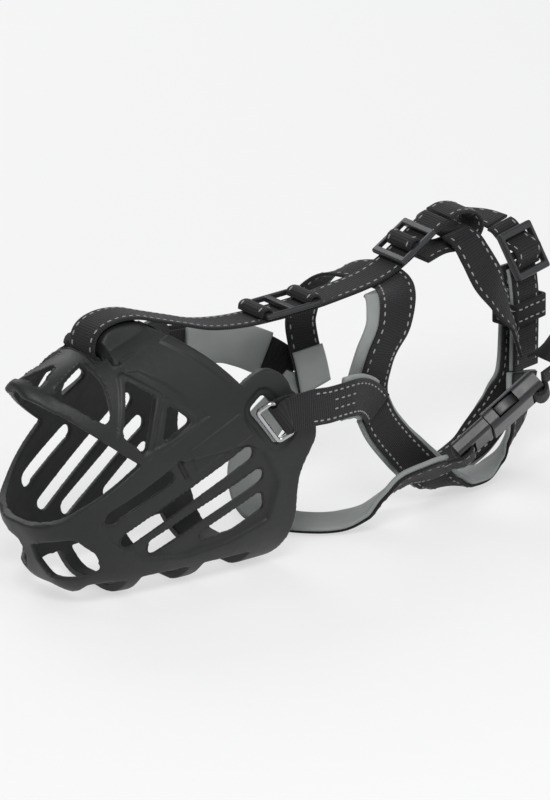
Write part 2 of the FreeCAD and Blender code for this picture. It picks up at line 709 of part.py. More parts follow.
def buckle_plug(w, h):
    """A base with a bar for its webbing, a hollow shoulder for the prongs and a middle tongue."""
    mouth = v("maleLong")
    base = block((-3.0, mouth - 0.4), (-w, w), (-h + 1.4, h - 1.4), 1.8, lengthwise)
    slit = block((1.6, 5.6), (-v("webWide") / 2 - v("gap"), v("webWide") / 2 + v("gap")), (-h, h))
    hollows = [block((7.0, mouth), tuple(sorted((sign * 3.4, sign * (w - 1.4)))), (-2.8, 2.8)) for sign in (-1, 1)]
    tongue = block((mouth - 1.5, mouth + v("femaleLong") - 11), (-1.9, 1.9), (-2.4, 2.4), 0.5, lengthwise)
    seated("buckle_male", base.cut(Part.makeCompound([slit] + hollows)).fuse(tongue))


def prong(label, sign, w):
    """A springy side arm: a round root, a thin neck and a press pad that ends in a hook."""
    mouth = v("maleLong")
    outline = [(8.4, w - 5.4), (8.4, w - 2.6), (mouth + 5.4, w - 2.6), (mouth + 5.4, w - 0.2), (mouth + 9.0, w + 0.3),
               (mouth + 13.0, w - 0.3), (mouth + 15.4, w - 1.8), (mouth + 17.4, w - 3.8), (mouth + 16.4, w - 5.4)]
    points = [V(x, sign * y, -2.3) for x, y in outline]
    arm = Part.Face(Part.makePolygon(points + [points[0]])).extrude(V(0, 0, 4.6))
    root = Part.makeCylinder(1.4, 4.6, V(8.4, sign * (w - 4.0), -2.3))
    seated(label, arm.fuse(root))


def buckle():
    w = v("buckleWide") / 2
    h = v("buckleThick") / 2
    buckle_socket(w, h)
    buckle_plug(w, h)
    prong("prong_upper", 1, w)
    prong("prong_lower", -1, w)


def buckle_webbing():
    """The socket's webbing loops over its bar and runs to the rear strap."""
    place = buckle_place()
    side = tuple(place.Rotation.multVec(V(0, 1, 0)))
    end = v("maleLong") + v("femaleLong")
    h = v("buckleThick") / 2 + v("gap") + v("webThick") / 2
    local = [(end - 4.6, 0, 0), (end - 4.6, 0, h - 1.0), (end - 3.6, 0, h + 0.6), (end - 1.6, 0, h + 0.9), (end + 0.6, 0, h),
             (end + 1.5, 0, h - 1.4), (end + 2.2, 0, 1.2)]
    loop = [tuple(place.multVec(V(*p))) for p in local]
    tail = [(224.5, -37.5, 56.6), (231, -30.5, 58.4), (235, -21, 57.6), (236.6, -13.6, 55.5), (236.4, -9.2, 51)]
    sides = [side] * 7 + [(-0.35, -0.6, 0.7), (-0.1, -0.5, 0.85), (0.4, -0.2, 0.9), (0.8, 0.1, 0.6), (0.98, 0.2, 0.1)]
    webbing("female_webbing_loop", route(loop + tail, sides, 2.0))


basket()
forehead_strap()
crown_loop()
brow_strap()
for sign, tag in ((-1, "left"), (1, "right")):
    lug_ring(sign, "lug_ring_" + tag)
    cheek_strap(sign, tag)
neck_strap_left()
neck_strap_right()
rear_strap()
crown_strap()
adjusters()
strap_keeper()
buckle()
buckle_webbing()

doc.recompute()
home = FreeCAD.Placement(V(-v("ribFirst") - v("ribStep"), 0, 0), FreeCAD.Rotation())
for label, obj in NODES:
    obj.Placement = home.multiply(obj.Placement)
doc.recompute()
bad = [o.Name for o in doc.Objects if "Invalid" in o.State or "Error" in o.State]
if bad:
    raise RuntimeError("failed objects: " + ", ".join(bad))
os.makedirs("parts", exist_ok=True)
for label, obj in NODES:
    made = obj.Shape
    if made.isNull() or not made.isValid() or not made.Solids:
        raise RuntimeError("bad shape: " + label)
    print(label, len(made.Solids), round(made.Volume, 1), [round(q, 1) for q in (made.BoundBox.XMin, made.BoundBox.XMax,
          made.BoundBox.YMin, made.BoundBox.YMax, made.BoundBox.ZMin, made.BoundBox.ZMax)])
    made.exportStep("parts/" + label + ".step")
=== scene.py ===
import bpy
import bmesh
import math
import numpy as np
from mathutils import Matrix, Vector


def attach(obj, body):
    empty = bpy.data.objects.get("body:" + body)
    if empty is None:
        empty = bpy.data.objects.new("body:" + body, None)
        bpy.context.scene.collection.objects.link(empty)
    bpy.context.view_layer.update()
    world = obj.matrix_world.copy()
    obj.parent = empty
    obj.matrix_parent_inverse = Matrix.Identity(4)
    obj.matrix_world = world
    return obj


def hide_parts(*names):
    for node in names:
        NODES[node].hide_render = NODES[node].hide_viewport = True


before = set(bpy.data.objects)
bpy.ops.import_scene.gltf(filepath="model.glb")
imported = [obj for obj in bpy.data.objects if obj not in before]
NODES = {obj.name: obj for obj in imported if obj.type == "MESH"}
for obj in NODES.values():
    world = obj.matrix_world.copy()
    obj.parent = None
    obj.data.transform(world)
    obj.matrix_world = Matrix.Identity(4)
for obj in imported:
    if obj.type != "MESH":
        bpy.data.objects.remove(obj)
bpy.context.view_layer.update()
MM = 0.001
JOIN = 1e-6    # metres: points this close are one
HOME = 36.0    # x is measured from the nose opening's rear corners, this far ahead of the origin


def at(x, y, z):
    """A place in the shared frame, in metres, from measures in millimetres."""
    return Vector((x - HOME, y, z)) * MM


# ------------------------------------------------------------------ materials

class Value:
    """A shader socket that can be used in sums and products."""

    def __init__(self, tree, socket):
        self.tree = tree
        self.socket = socket

    def step(self, operation, other=None, swap=False):
        node = self.tree.nodes.new("ShaderNodeMath")
        node.operation = operation
        pair = [self] if other is None else [other, self] if swap else [self, other]
        for slot, item in zip(node.inputs, pair):
            if isinstance(item, Value):
                self.tree.links.new(item.socket, slot)
            else:
                slot.default_value = item
        return Value(self.tree, node.outputs[0])

    def __add__(self, other): return self.step("ADD", other)
    def __radd__(self, other): return self.step("ADD", other, True)
    def __mul__(self, other): return self.step("MULTIPLY", other)
    def __rmul__(self, other): return self.step("MULTIPLY", other, True)
    def sine(self): return self.step("SINE")
    def size(self): return self.step("ABSOLUTE")
    def most(self, other): return self.step("MAXIMUM", other)


STRAP_PLACE, OBJECT_PLACE = 2, 3   # outputs of the texture coordinate node


class Finish:
    """A material built round one Principled shader."""

    def __init__(self, name, colour, roughness, **constants):
        self.material = bpy.data.materials.new(name)
        self.material.use_nodes = True
        self.tree = self.material.node_tree
        self.shader = self.tree.nodes["Principled BSDF"]
        self.set("Base Color", (*colour, 1))
        self.set("Roughness", roughness)
        for key, value in constants.items():
            self.set(key.replace("_", " "), value)

    def set(self, socket, value):
        if isinstance(value, Value):
            self.tree.links.new(value.socket, self.shader.inputs[socket])
        else:
            self.shader.inputs[socket].default_value = value

    def node(self, kind, settings=None, output=0, **sockets):
        """One output of a new shader node; _6 names its seventh input, Base_Color the input of that name."""
        node = self.tree.nodes.new("ShaderNode" + kind)
        for key, value in (settings or {}).items():
            setattr(node, key, value)
        for key, value in sockets.items():
            slot = node.inputs[int(key[1:]) if key[0] == "_" else key.replace("_", " ")]
            if isinstance(value, Value):
                self.tree.links.new(value.socket, slot)
            else:
                slot.default_value = value
        return Value(self.tree, node.outputs[output])

    def place(self):
        """Where the surface is on its own piece, in metres."""
        return self.node("TexCoord", output=OBJECT_PLACE)

    def noise(self, scale, detail=3.0, roughness=0.55):
        """Cloudy variation with this many features to the metre."""
        return self.node("TexNoise", Vector=self.place(), Scale=scale, Detail=detail, Roughness=roughness)

    def mix(self, factor, first, second):
        return self.node("Mix", {"data_type": "RGBA"}, 2, _0=factor, _6=(*first, 1), _7=(*second, 1))

    def relief(self, height, distance, strength):
        """Raises the surface by a pattern, distance metres high at full strength."""
        self.set("Normal", self.node("Bump", Height=height, Distance=distance, Strength=strength))


def moulded_rubber():
    """Soft black moulded rubber: faint mottling, a fine grain and a satin sheen."""
    made = Finish("moulded_rubber", (0.015, 0.0155, 0.0152), 0.5, Specular_IOR_Level=0.4)
    cloud = made.noise(45, 4)
    made.set("Base Color", made.mix(cloud, (0.012, 0.0126, 0.0122), (0.02, 0.021, 0.0204)))
    made.set("Roughness", 0.4 + 0.2 * made.noise(110, 3))
    grain = made.noise(2600, 2)
    made.relief(grain + 2 * made.noise(420, 2), 0.00009, 0.55)
    return made.material


WEFT_PITCH = 0.00115   # metres from one row of the weave to the next
WARP_PITCH = 0.0009


def woven_webbing():
    """Black webbing: short rows of weft over warp cords, with a painted highlight that makes the crowns a
    little lighter.
    """
    made = Finish("woven_webbing", (0.012, 0.012, 0.0125), 0.8,
                  Specular_IOR_Level=0.3, Sheen_Weight=0.08, Sheen_Roughness=0.5)
    parts = made.tree.nodes.new("ShaderNodeSeparateXYZ")
    made.tree.links.new(made.node("TexCoord", output=STRAP_PLACE).socket, parts.inputs[0])
    along = Value(made.tree, parts.outputs[0])
    across = Value(made.tree, parts.outputs[1])
    rows = (along * (math.pi / WEFT_PITCH)).sine()
    cords = (across * (math.pi / WARP_PITCH)).sine()
    weave = (rows * cords).size() * 0.7 + rows.size() * 0.5
    fuzz = made.noise(5200, 2)
    # painted highlight: the weave's raised crowns get the lighter colour, as if light caught them; the fuzz
    # adds random tone
    made.set("Base Color", made.mix(weave * 0.6 + fuzz * 0.3, (0.006, 0.006, 0.0065), (0.022, 0.022, 0.0235)))
    made.set("Roughness", 0.68 + 0.2 * fuzz)
    made.relief(weave + fuzz * 0.35, 0.00022, 0.8)
    return made.material


def soft_lining():
    """Pale grey padded lining: a fine knit with a soft bloom."""
    made = Finish("soft_lining", (0.27, 0.285, 0.275), 0.9, Sheen_Weight=0.15, Sheen_Roughness=0.5)
    knit = made.noise(3800, 2)
    cloud = made.noise(90, 3)
    made.set("Base Color", made.mix(cloud * 0.6 + knit * 0.4, (0.22, 0.235, 0.226), (0.33, 0.345, 0.337)))
    made.set("Roughness", 0.78 + 0.15 * knit)
    made.relief(knit + cloud, 0.0002, 0.5)
    return made.material


def moulded_plastic():
    """Black acetal hardware: smooth, with the faint bloom of a tumbled moulding."""
    made = Finish("moulded_plastic", (0.02, 0.0205, 0.022), 0.38)
    cloud = made.noise(160, 3)
    made.set("Base Color", made.mix(cloud, (0.016, 0.0165, 0.018), (0.028, 0.029, 0.031)))
    made.set("Roughness", 0.3 + 0.18 * cloud)
    made.relief(made.noise(1900, 2), 0.00005, 0.5)
    return made.material


def bright_wire():
    """Chromed wire with light handling marks."""
    made = Finish("bright_wire", (0.5, 0.5, 0.51), 0.22, Metallic=1.0)
    marks = made.noise(700, 4, 0.7)
    made.set("Roughness", 0.16 + 0.2 * marks)
    made.set("Base Color", made.mix(marks, (0.4, 0.4, 0.405), (0.6, 0.6, 0.61)))
    made.relief(marks, 0.00002, 0.4)
    return made.material


def pale_thread():
    """Twisted sewing thread."""
    made = Finish("pale_thread", (0.3, 0.3, 0.295), 0.8)
    twist = made.noise(5000, 2)
    made.set("Base Color", made.mix(twist, (0.2, 0.2, 0.196), (0.4, 0.4, 0.392)))
    made.relief(twist, 0.00008, 0.6)
    return made.material


RUBBER = moulded_rubber()
WEBBING = woven_webbing()
LINING = soft_lining()
PLASTIC = moulded_plastic()
WIRE = bright_wire()
THREAD = pale_thread()


# ------------------------------------------------------------------ pieces

def piece(name, mesh, material, body, slot, *nodes):
    """Shows a mesh as one piece of a body, in the place of the given solids."""
    mesh.materials.clear()
    mesh.materials.append(material)
    for face in mesh.polygons:
        face.use_smooth = True
    made = bpy.data.objects.new(name, mesh)
    bpy.context.scene.collection.objects.link(made)
    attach(made, body)
    if nodes:
        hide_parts(*nodes)
    return made


def apply_modifiers(made):
    """Puts what the modifiers make into the piece's own mesh."""
    graph = bpy.context.evaluated_depsgraph_get()
    shaped = bpy.data.meshes.new_from_object(made.evaluated_get(graph))
    made.modifiers.clear()
    made.data = shaped
    for face in shaped.polygons:
        face.use_smooth = True


STATION_STEP = 1.2   # millimetres between a run's stations
SPAN_STEPS = 12      # points worked out between two given ones
TINY = 1e-9


class Run:
    """A strap's centre line with its width direction, sampled evenly."""

    def __init__(self, points, sides, step=STATION_STEP):
        points = [p if isinstance(p, Vector) else at(*p) for p in points]
        sides = [Vector(s).normalized() for s in sides]
        raw = []
        for i in range(len(points) - 1):
            a = points[max(i - 1, 0)]
            b, c = points[i], points[i + 1]
            d = points[min(i + 2, len(points) - 1)]
            for k in range(SPAN_STEPS):
                raw.append(self.between(a, b, c, d, sides[i], sides[i + 1], k / SPAN_STEPS))
        raw.append((points[-1], sides[-1]))
        lengths = [0.0]
        for (p, _), (q, _) in zip(raw, raw[1:]):
            lengths.append(lengths[-1] + (q - p).length)
        self.length = lengths[-1]
        count = max(4, int(self.length / (step * MM)))
        self.stations = []
        j = 0
        for k in range(count + 1):
            want = self.length * k / count
            while j < len(raw) - 2 and lengths[j + 1] < want:
                j += 1
            f = (want - lengths[j]) / max(lengths[j + 1] - lengths[j], TINY)
            here, following = raw[j], raw[j + 1]
            self.stations.append([want, here[0].lerp(following[0], f), here[1].lerp(following[1], f)])
        for k, row in enumerate(self.stations):
            before = self.stations[max(k - 1, 0)][1]
            after = self.stations[min(k + 1, count)][1]
            along = (after - before).normalized()
            side = (row[2] - along * row[2].dot(along)).normalized()
            row[2:] = [side, along.cross(side).normalized(), along]

    @staticmethod
    def between(a, b, c, d, side_b, side_c, f):
        """The point and width direction a share f of the way from b to c; a and d lie before and after."""
        span = (c - b).length
        m0 = (c - a) / max((c - b).length + (b - a).length, TINY) * span
        m1 = (d - b) / max((d - c).length + (c - b).length, TINY) * span
        g = 1 - f
        p = b * ((1 + 2 * f) * g * g) + m0 * (f * g * g) + c * (f * f * (3 - 2 * f)) - m1 * (f * f * g)
        e = f * f * (3 - 2 * f)
        return p, side_b.lerp(side_c, e)

    def part(self, first=0.0, last=0.0):
        """The same run without this many millimetres at its start and at its end."""
        short = Run.__new__(Run)
        start, end = first * MM, self.length - last * MM
        short.stations = [[row[0] - start] + row[1:] for row in self.stations if start <= row[0] <= end]
        short.length = short.stations[-1][0]
        return short

    def spot(self, distance, across, height):
        """A point over the strap: along it, across it and out from its face, with its directions."""
        rows = self.stations
        k = min(len(rows) - 2, max(0, int(distance / self.length * (len(rows) - 1))))
        f = (distance - rows[k][0]) / (rows[k + 1][0] - rows[k][0])
        p, side, face, along = [rows[k][i].lerp(rows[k + 1][i], f) for i in (1, 2, 3, 4)]
        place = p + side * across + face * height
        return place, side.normalized(), face.normalized(), along.normalized()


TOP_STEPS = 6    # facets across a strap's face
EDGE_STEPS = 4   # facets round its edge


def section(width, low, high, crown=0.0):
    """Half-round edged section of a strap, as (across, out) pairs."""
    half = width / 2
    mid = (low + high) / 2
    thick = (high - low) / 2
    edge = []
    for k in range(EDGE_STEPS + 1):
        t = math.radians(-90 + 180 * k / EDGE_STEPS)
        edge.append((half - thick + thick * math.cos(t), mid + thick * math.sin(t)))
    top = [half - thick - (width - 2 * thick) * k / TOP_STEPS for k in range(1, TOP_STEPS)]
    out = list(edge)
    out += [(y, high + crown * (1 - (y / half) ** 2)) for y in top]
    out += [(-y, 2 * mid - z) for y, z in edge]
    out += [(-y, low - crown * (1 - (y / half) ** 2)) for y in top]
    return out


def band(name, run, width, low, high, material, body, slot, *nodes, crown=0.0, shift=0.0):
    """A strap's solid, with its length and width kept as UVs in metres."""
    ring = section(width * MM, low * MM, high * MM, crown * MM)
    bm = bmesh.new()
    uv = bm.loops.layers.uv.new("Strap")
    rows = []
    for distance, p, side, face, along in run.stations:
        p = p + side * (shift * MM)
        rows.append([(bm.verts.new(p + side * y + face * z), distance, y) for y, z in ring])
    count = len(ring)
    for a, b in zip(rows, rows[1:]):
        for k in range(count):
            n = (k + 1) % count
            quad = [a[k], a[n], b[n], b[k]]
            made = bm.faces.new([q[0] for q in quad])
            for loop, q in zip(made.loops, quad):
                loop[uv].uv = (q[1], q[2])
    for row, flip in ((rows[0], True), (rows[-1], False)):
        quad = row[::-1] if flip else row
        made = bm.faces.new([q[0] for q in quad])
        for loop, q in zip(made.loops, quad):
            loop[uv].uv = (q[1], q[2])
    bmesh.ops.recalc_face_normals(bm, faces=bm.faces)
    mesh = bpy.data.meshes.new(name)
    bm.to_mesh(mesh)
    bm.free()
    return piece(name, mesh, material, body, slot, *nodes)


STITCH_PITCH = 3.7
STITCH_LENGTH = 2.3
STITCH_WIDE = 0.8
STITCH_TALL = 0.32
STITCH_SUNK = 0.2     # share of its height that lies in the cloth
STITCH_FACETS = 5
# its shape, as (share of the length from its middle, share of the width, share of the height)
STITCH_SHAPE = ((-0.5, 0.35, 0.0), (-0.32, 0.9, 0.85), (0, 1, 1), (0.32, 0.9, 0.85), (0.5, 0.35, 0.0))


def stitch(bm, centre, along, side, face, length, wide, tall):
    """One stitch: a low loaf of thread, pulled down at both ends."""
    rows = []
    for f, w, h in STITCH_SHAPE:
        row = []
        for k in range(STITCH_FACETS + 1):
            t = math.pi * k / STITCH_FACETS
            off = side * (math.cos(t) * w * wide / 2) + face * (math.sin(t) * h * tall - STITCH_SUNK * tall)
            row.append(bm.verts.new(centre + along * (f * length) + off))
        rows.append(row)
    for a, b in zip(rows, rows[1:]):
        for k in range(STITCH_FACETS):
            bm.faces.new((a[k], a[k + 1], b[k + 1], b[k]))
        bm.faces.new((a[-1], a[0], b[0], b[-1]))
    bm.faces.new(rows[0][::-1])
    bm.faces.new(rows[-1])


def stitching(name, body, jobs):
    """Rows of stitches; each job is (run, across, height, start, end) in millimetres."""
    bm = bmesh.new()
    for run, across, height, start, end in jobs:
        end = run.length / MM - 2 if end is None else end
        count = max(1, int((end - start) / STITCH_PITCH))
        for k in range(count):
            d = (start + (k + 0.5) * (end - start) / count) * MM
            p, side, face, along = run.spot(d, across * MM, height * MM)
            out = face if height > 0 else -face
            stitch(bm, p, along, side, out, STITCH_LENGTH * MM, STITCH_WIDE * MM, STITCH_TALL * MM)
    bmesh.ops.recalc_face_normals(bm, faces=bm.faces)
    mesh = bpy.data.meshes.new(name)
    bm.to_mesh(mesh)
    bm.free()
    piece(name, mesh, THREAD, body, "webbing")


def mirrored(points):
    """The same points on the other side of the mirror plane."""
    return [(x, -y, z) for x, y, z in points]


def around(centre, radius, first, last, count, a, b):
    """Points on an arc round a bar, in millimetres."""
    out = []
    for k in range(count):
        t = math.radians(first + (last - first) * k / (count - 1))
        p = centre + a * (radius * math.cos(t)) + b * (radius * math.sin(t))
        out.append((p.x, p.y, p.z))
    return out


X = (1, 0, 0)
Y = (0, 1, 0)
Z = (0, 0, 1)
T = 1.5      # webbing thickness
P = 2.1      # lining thickness
WIDE = 16.0
LINED = 19.0
SEAM = 5.9   # stitch rows lie this far off the middle
CLEAR = 0.35
WIRE_DIA = 2.2
BAR = 3.2
CROWN = 0.25  # the lining is this much fuller in its middle
GAP = 0.05    # between a strap and its lining


def webbing(name, run, node):
    """A length of the harness's plain webbing."""
    band(name, run, WIDE, -T / 2, T / 2, WEBBING, "muzzle", "webbing", node)


def padding(name, run, sign, node, width=LINED, shift=0.0):
    """The soft lining on one face of a strap, plump between its edges."""
    low, high = sorted((sign * (T / 2 + GAP), sign * (T / 2 + P)))
    made = band(name, run, width, low, high, LINING, "muzzle", "lining", node, crown=CROWN, shift=shift)


def both_rows(run, height, start=2, end=None):
    """Stitching jobs for the rows near a strap's two edges."""
    return [(run, q * SEAM, height, start, end) for q in (-1, 1)]


# ------------------------------------------------------------------ basket

def inside(points, x, z):
    """How far each point lies inside an outline, negative outside, in the outline's own units."""
    far = np.full(x.shape, 1e9)
    within = np.zeros(x.shape, bool)
    for (ax, az), (bx, bz) in zip(points, points[1:] + points[:1]):
        dx, dz = bx - ax, bz - az
        f = np.clip(((x - ax) * dx + (z - az) * dz) / (dx * dx + dz * dz), 0, 1)
        far = np.minimum(far, np.hypot(x - ax - f * dx, z - az - f * dz))
        if az != bz:
            crosses = ((az > z) != (bz > z)) & (x < dx * (z - az) / dz + ax)
            within ^= crosses
    return np.where(within, far, -far)


def ramp(value, start, end):
    """Rises smoothly from 0 at start to 1 at end."""
    f = np.clip((value - start) / (end - start), 0, 1)
    return f * f * (3 - 2 * f)


# zones of the mould, outlined in side view, as (x, z)
ROOF_FIELD = [(36.5, 78.4), (20, 94), (3, 104.9), (-2, 108.5), (-6, 114), (-40, 110), (-35.5, 98.4),
              (-22, 92.2), (-13.4, 85.6), (-3, 75.6), (3, 67)]
GROOVE = [(18.2, 62.6), (21.7, 61.7), (27, 51.5), (23.8, 52.1)]
BARE_PLATE = [(24.4, 65.5), (49.3, 77.3), (54.7, 67.1), (29.4, 54.6)]
SLOT_FIELD = [(-16, 40), (-10.6, 31), (-2, 23.5), (9, 18.2), (28, 15.2), (47, 17.4), (67, 24.5), (70, 42),
              (61, 58.5), (53, 63.4), (18, 61)]
ROOF_WINDOWS = ([(3.0, 97.5), (13.6, 90), (9.4, 81), (4.6, 67.6), (-5.4, 76.2), (0.4, 91)],
                [(17.6, 86.6), (27.6, 77.6), (12, 70)])
ROOF_BORDER = [(14, 117), (23.5, 115), (37, 105.6), (46.4, 96.6), (53, 88.6), (49.4, 85.6), (43, 93.4),
               (33.8, 102), (21, 110.6), (12, 112)]
# how far each zone is sunk or raised
ROOF_SUNK = 0.8
RIM_RAISED = 0.7
SLOTS_SUNK = 0.9
GROOVE_SUNK = 1.2
PLATE_RAISED = 0.55
BORDER_RAISED = 0.5
WAIST = 63.0            # height of the basket's widest line
BORDER_FROM = 18        # the roof's border starts this far off the mirror plane
SADDLE = (-1, 25)       # x range of the rise behind the strap's eye
SADDLE_SIDE = (8.0, 11.5)
SADDLE_SHARE = 0.85     # share of the rise that is taken off beside the strap
NOSE_CURL = 2.6
CURL_FROM, CURL_TO = 28, 37
NOSE_BAR_ABOVE = 80


def cast_details(mesh):
    """Moves the outer wall: the sunk and raised zones, the rise beside the strap and the nose bar's edge."""
    count = len(mesh.vertices)
    co = np.empty(count * 3)
    normal = np.empty(count * 3)
    mesh.vertices.foreach_get("co", co)
    mesh.vertices.foreach_get("normal", normal)
    co = co.reshape(-1, 3)
    normal = normal.reshape(-1, 3)
    x = co[:, 0] / MM + HOME
    y = co[:, 1] / MM
    z = co[:, 2] / MM
    outward = np.sign(y) * normal[:, 1] * np.abs(y) + (z - WAIST) * normal[:, 2]
    outer = outward > 0.5 * np.hypot(y, z - WAIST)
    off_saddle = (x < 5) | (z < 100)
    move = -ROOF_SUNK * ramp(inside(ROOF_FIELD, x, z), -0.2, 1.0) * off_saddle
    for window in ROOF_WINDOWS:
        move += RIM_RAISED * ramp(inside(window, x, z), -3.2, -1.8) * off_saddle
    move -= SLOTS_SUNK * ramp(inside(SLOT_FIELD, x, z), 0.2, 1.8)
    move -= GROOVE_SUNK * ramp(inside(GROOVE, x, z), -0.2, 0.9)
    move += PLATE_RAISED * ramp(inside(BARE_PLATE, x, z), -0.3, 0.5) * (y < 0)
    move += BORDER_RAISED * ramp(inside(ROOF_BORDER, x, z), -0.4, 0.4) * (np.abs(y) > BORDER_FROM)
    move = np.where(outer, move, 0.0)
    co += normal * (move * MM)[:, None]
    # beside the strap the rise on the saddle runs out into the roof,
    # an oval that widens and climbs to the rear
    half = 34.4 + 0.154 * x
    top = 107.5 + 0.283 * x
    roof_height = WAIST + (top - WAIST) * np.sqrt(np.clip(1 - (y / half) ** 2, 0, 1))
    over = np.clip(z - roof_height, 0, None) * ((x > SADDLE[0]) & (x < SADDLE[1]) & outer)
    co[:, 2] -= over * SADDLE_SHARE * ramp(np.abs(y), *SADDLE_SIDE) * MM
    # the nose bar's front edge curls up rather than hanging down
    co[:, 2] += NOSE_CURL * ramp(-x, CURL_FROM, CURL_TO) * (z > NOSE_BAR_ABOVE) * MM
    mesh.vertices.foreach_set("co", co.reshape(-1))
    mesh.update()


VOXEL, VOXEL_QUICK = 0.5, 0.7
EDGE_ROUNDS, TIP_ROUNDS, CHIN_ROUNDS = 10, 60, 90   # rounds of smoothing


def joined(node):
    """A copy of a solid's mesh with its faces joined up."""
    mesh = NODES[node].data.copy()
    bm = bmesh.new()
    bm.from_mesh(mesh)
    bmesh.ops.remove_doubles(bm, verts=bm.verts, dist=JOIN)
    bm.to_mesh(mesh)
    bm.free()
    return mesh


def soften(made, name, where, rounds):
    """Smooths the part of the mesh that where(x, y, z) picks."""
    group = made.vertex_groups.new(name=name)
    for vertex in made.data.vertices:
        x, y, z = vertex.co / MM
        if where(x + HOME, y, z):
            group.add([vertex.index], 1.0, "REPLACE")
    modifier = made.modifiers.new(name, "SMOOTH")
    modifier.factor = 0.5
    modifier.iterations = rounds
    modifier.vertex_group = name
    apply_modifiers(made)
    made.vertex_groups.clear()


def basket():
    """The moulding with its edges softened and its cast-in details."""
    mesh = joined("basket")
    made = piece("muzzle_basket", mesh, RUBBER, "muzzle", "moulded_rubber", "basket")
    remesh = made.modifiers.new("Even", "REMESH")
    remesh.mode = "VOXEL"
    remesh.voxel_size = VOXEL * MM
    apply_modifiers(made)
    soften(made, "edges", lambda x, y, z: True, EDGE_ROUNDS)
    soften(made, "nose_tip", lambda x, y, z: x < -24 and z > 78, TIP_ROUNDS)
    soften(made, "chin_windows", lambda x, y, z: x < -3 and z < 40 and abs(y) > 10, CHIN_ROUNDS)
    cast_details(made.data)


# ------------------------------------------------------------------ harness

SLIDER_AT = 120      # where the front slider's rear end comes to
SLIDER_REACH = 9
PULLED_IN = 0.22


def forehead():
    """Up through the saddle's eye, back over the saddle and on over the forehead through both sliders."""
    under = [(34, 0, 107.0), (23.5, 0, 107.6), (14, 0, 105.4), (5, 0, 102.6), (1, 0, 102.4)]
    turn = [(-1.2, 0, 104.4), (-1.6, 0, 108), (-0.9, 0, 111.4), (1.2, 0, 114.2)]
    top = [(5, 0, 116.2), (11, 0, 117.2), (17, 0, 116.9), (24, 0, 115.4), (32, 0, 112.4), (47, 0, 106.9),
           (61, 0, 102), (78, 0, 99), (95, 0, 98), (112, 0, 98), (130, 0, 99), (149, 0, 101), (160, 0, 104.2),
           (170, 0, 109.2), (180, 0, 115.6), (187.6, 0, 120.0)]
    points = under + turn + top
    run = Run(points, [Y] * len(points))
    webbing("forehead_webbing", run, "forehead_strap")
    rise = [row[0] / MM for row in run.stations if row[0] > 40 * MM and row[1].x > at(SLIDER_AT, 0, 0).x]
    flush = (rise[0], rise[0] + SLIDER_REACH)
    jobs = both_rows(run, T / 2, 38, flush[0]) + both_rows(run, T / 2, flush[1])
    # under the front slider's furthest reach the thread is pulled flush
    jobs += both_rows(run, T / 2 - PULLED_IN, *flush)
    stitching("forehead_stitching", "muzzle", jobs)
    points = [(188.6, 0, 120.6), (195, 0, 121.8), (203, 0, 119.6), (206.6, 0, 114), (203.4, 0, 108.2),
              (195, 0, 105.8), (186, 0, 106.2), (177, 0, 104.2)]
    run = Run(points, [Y] * len(points))
    webbing("crown_loop_webbing", run, "crown_loop")
    stitching("crown_loop_stitching", "muzzle", both_rows(run, -T / 2, 1) + both_rows(run, T / 2, 1))


def brow():
    """Arch over the head between the two junctions, lined on its left."""
    half = [(138, -20.6, 50), (136, -21.0, 60), (135.4, -24.3, 70), (136.5, -27, 79), (142, -27.5, 89),
            (148, -22.5, 96.6), (155, -12, 100.4)]
    lean = [X] * 6 + [(0.97, 0, 0.22)]
    run = Run(half + [(157, 0, 100.8)] + mirrored(reversed(half)), lean + [(0.94, 0, 0.33)] + lean[::-1])
    length = run.length / MM
    webbing("brow_webbing", run, "brow_strap")
    stitching("brow_stitching", "muzzle", both_rows(run, -T / 2, 3) + both_rows(run, T / 2, length * 0.6))
    padding("brow_padding", run.part(8.0, length / 2 + 9.0), 1, "brow_lining_left", shift=-4.0)
    padding("junction_patch", run.part(length - 18.0), 1, "junction_pad_right", WIDE)


RING_LONG = 9.0        # over both long sides of the wire ring
RING_CORNER = 2.0
RING_CORNER_STEPS = 6
RING_FACETS = 14


def ring_places(sign):
    """The middles of a ring's front and rear bars, and the direction that both run in."""
    along = Vector((0.59, 0, -0.807)).normalized()
    across = Vector((0.807, 0, 0.59)).normalized()
    centre = Vector((64.6, 0, 70.9))
    reach = (RING_LONG - WIRE_DIA) / 2
    front = centre - across * reach
    rear = centre + across * reach
    front.y, rear.y = sign * 43.4, sign * 46.6
    return front, rear, along


def wire_ring(sign, tag):
    """A rectangular ring of round wire."""
    front, rear, along = ring_places(sign)
    half = along * ((WIDE + WIRE_DIA + 3 * CLEAR) / 2)
    corners = [front - half, front + half, rear + half, rear - half]
    path = []
    for i, p in enumerate(corners):
        a = (corners[i - 1] - p).normalized()
        b = (corners[(i + 1) % 4] - p).normalized()
        for k in range(RING_CORNER_STEPS + 1):
            t = k / RING_CORNER_STEPS
            path.append(p + a * RING_CORNER * (1 - t) ** 2 + b * RING_CORNER * t * t)
    bm = bmesh.new()
    rows = []
    count = len(path)
    normal = (corners[1] - corners[0]).cross(corners[2] - corners[1]).normalized()
    for i, p in enumerate(path):
        tangent = (path[(i + 1) % count] - path[i - 1]).normalized()
        side = tangent.cross(normal)
        row = []
        for k in range(RING_FACETS):
            t = 2 * math.pi * k / RING_FACETS
            q = p + (side * math.cos(t) + normal * math.sin(t)) * (WIRE_DIA / 2)
            row.append(bm.verts.new(at(*q)))
        rows.append(row)
    for a, b in zip(rows, rows[1:] + rows[:1]):
        for k in range(RING_FACETS):
            n = (k + 1) % RING_FACETS
            bm.faces.new((a[k], a[n], b[n], b[k]))
    bmesh.ops.recalc_face_normals(bm, faces=bm.faces)
    mesh = bpy.data.meshes.new("wire_ring_" + tag)
    bm.to_mesh(mesh)
    bm.free()
    piece("wire_ring_" + tag, mesh, WIRE, "ring_" + tag, "chromed_wire", "lug_ring_" + tag)


EYE_ROOM = 0.3   # further room for the wire in the strap's eye


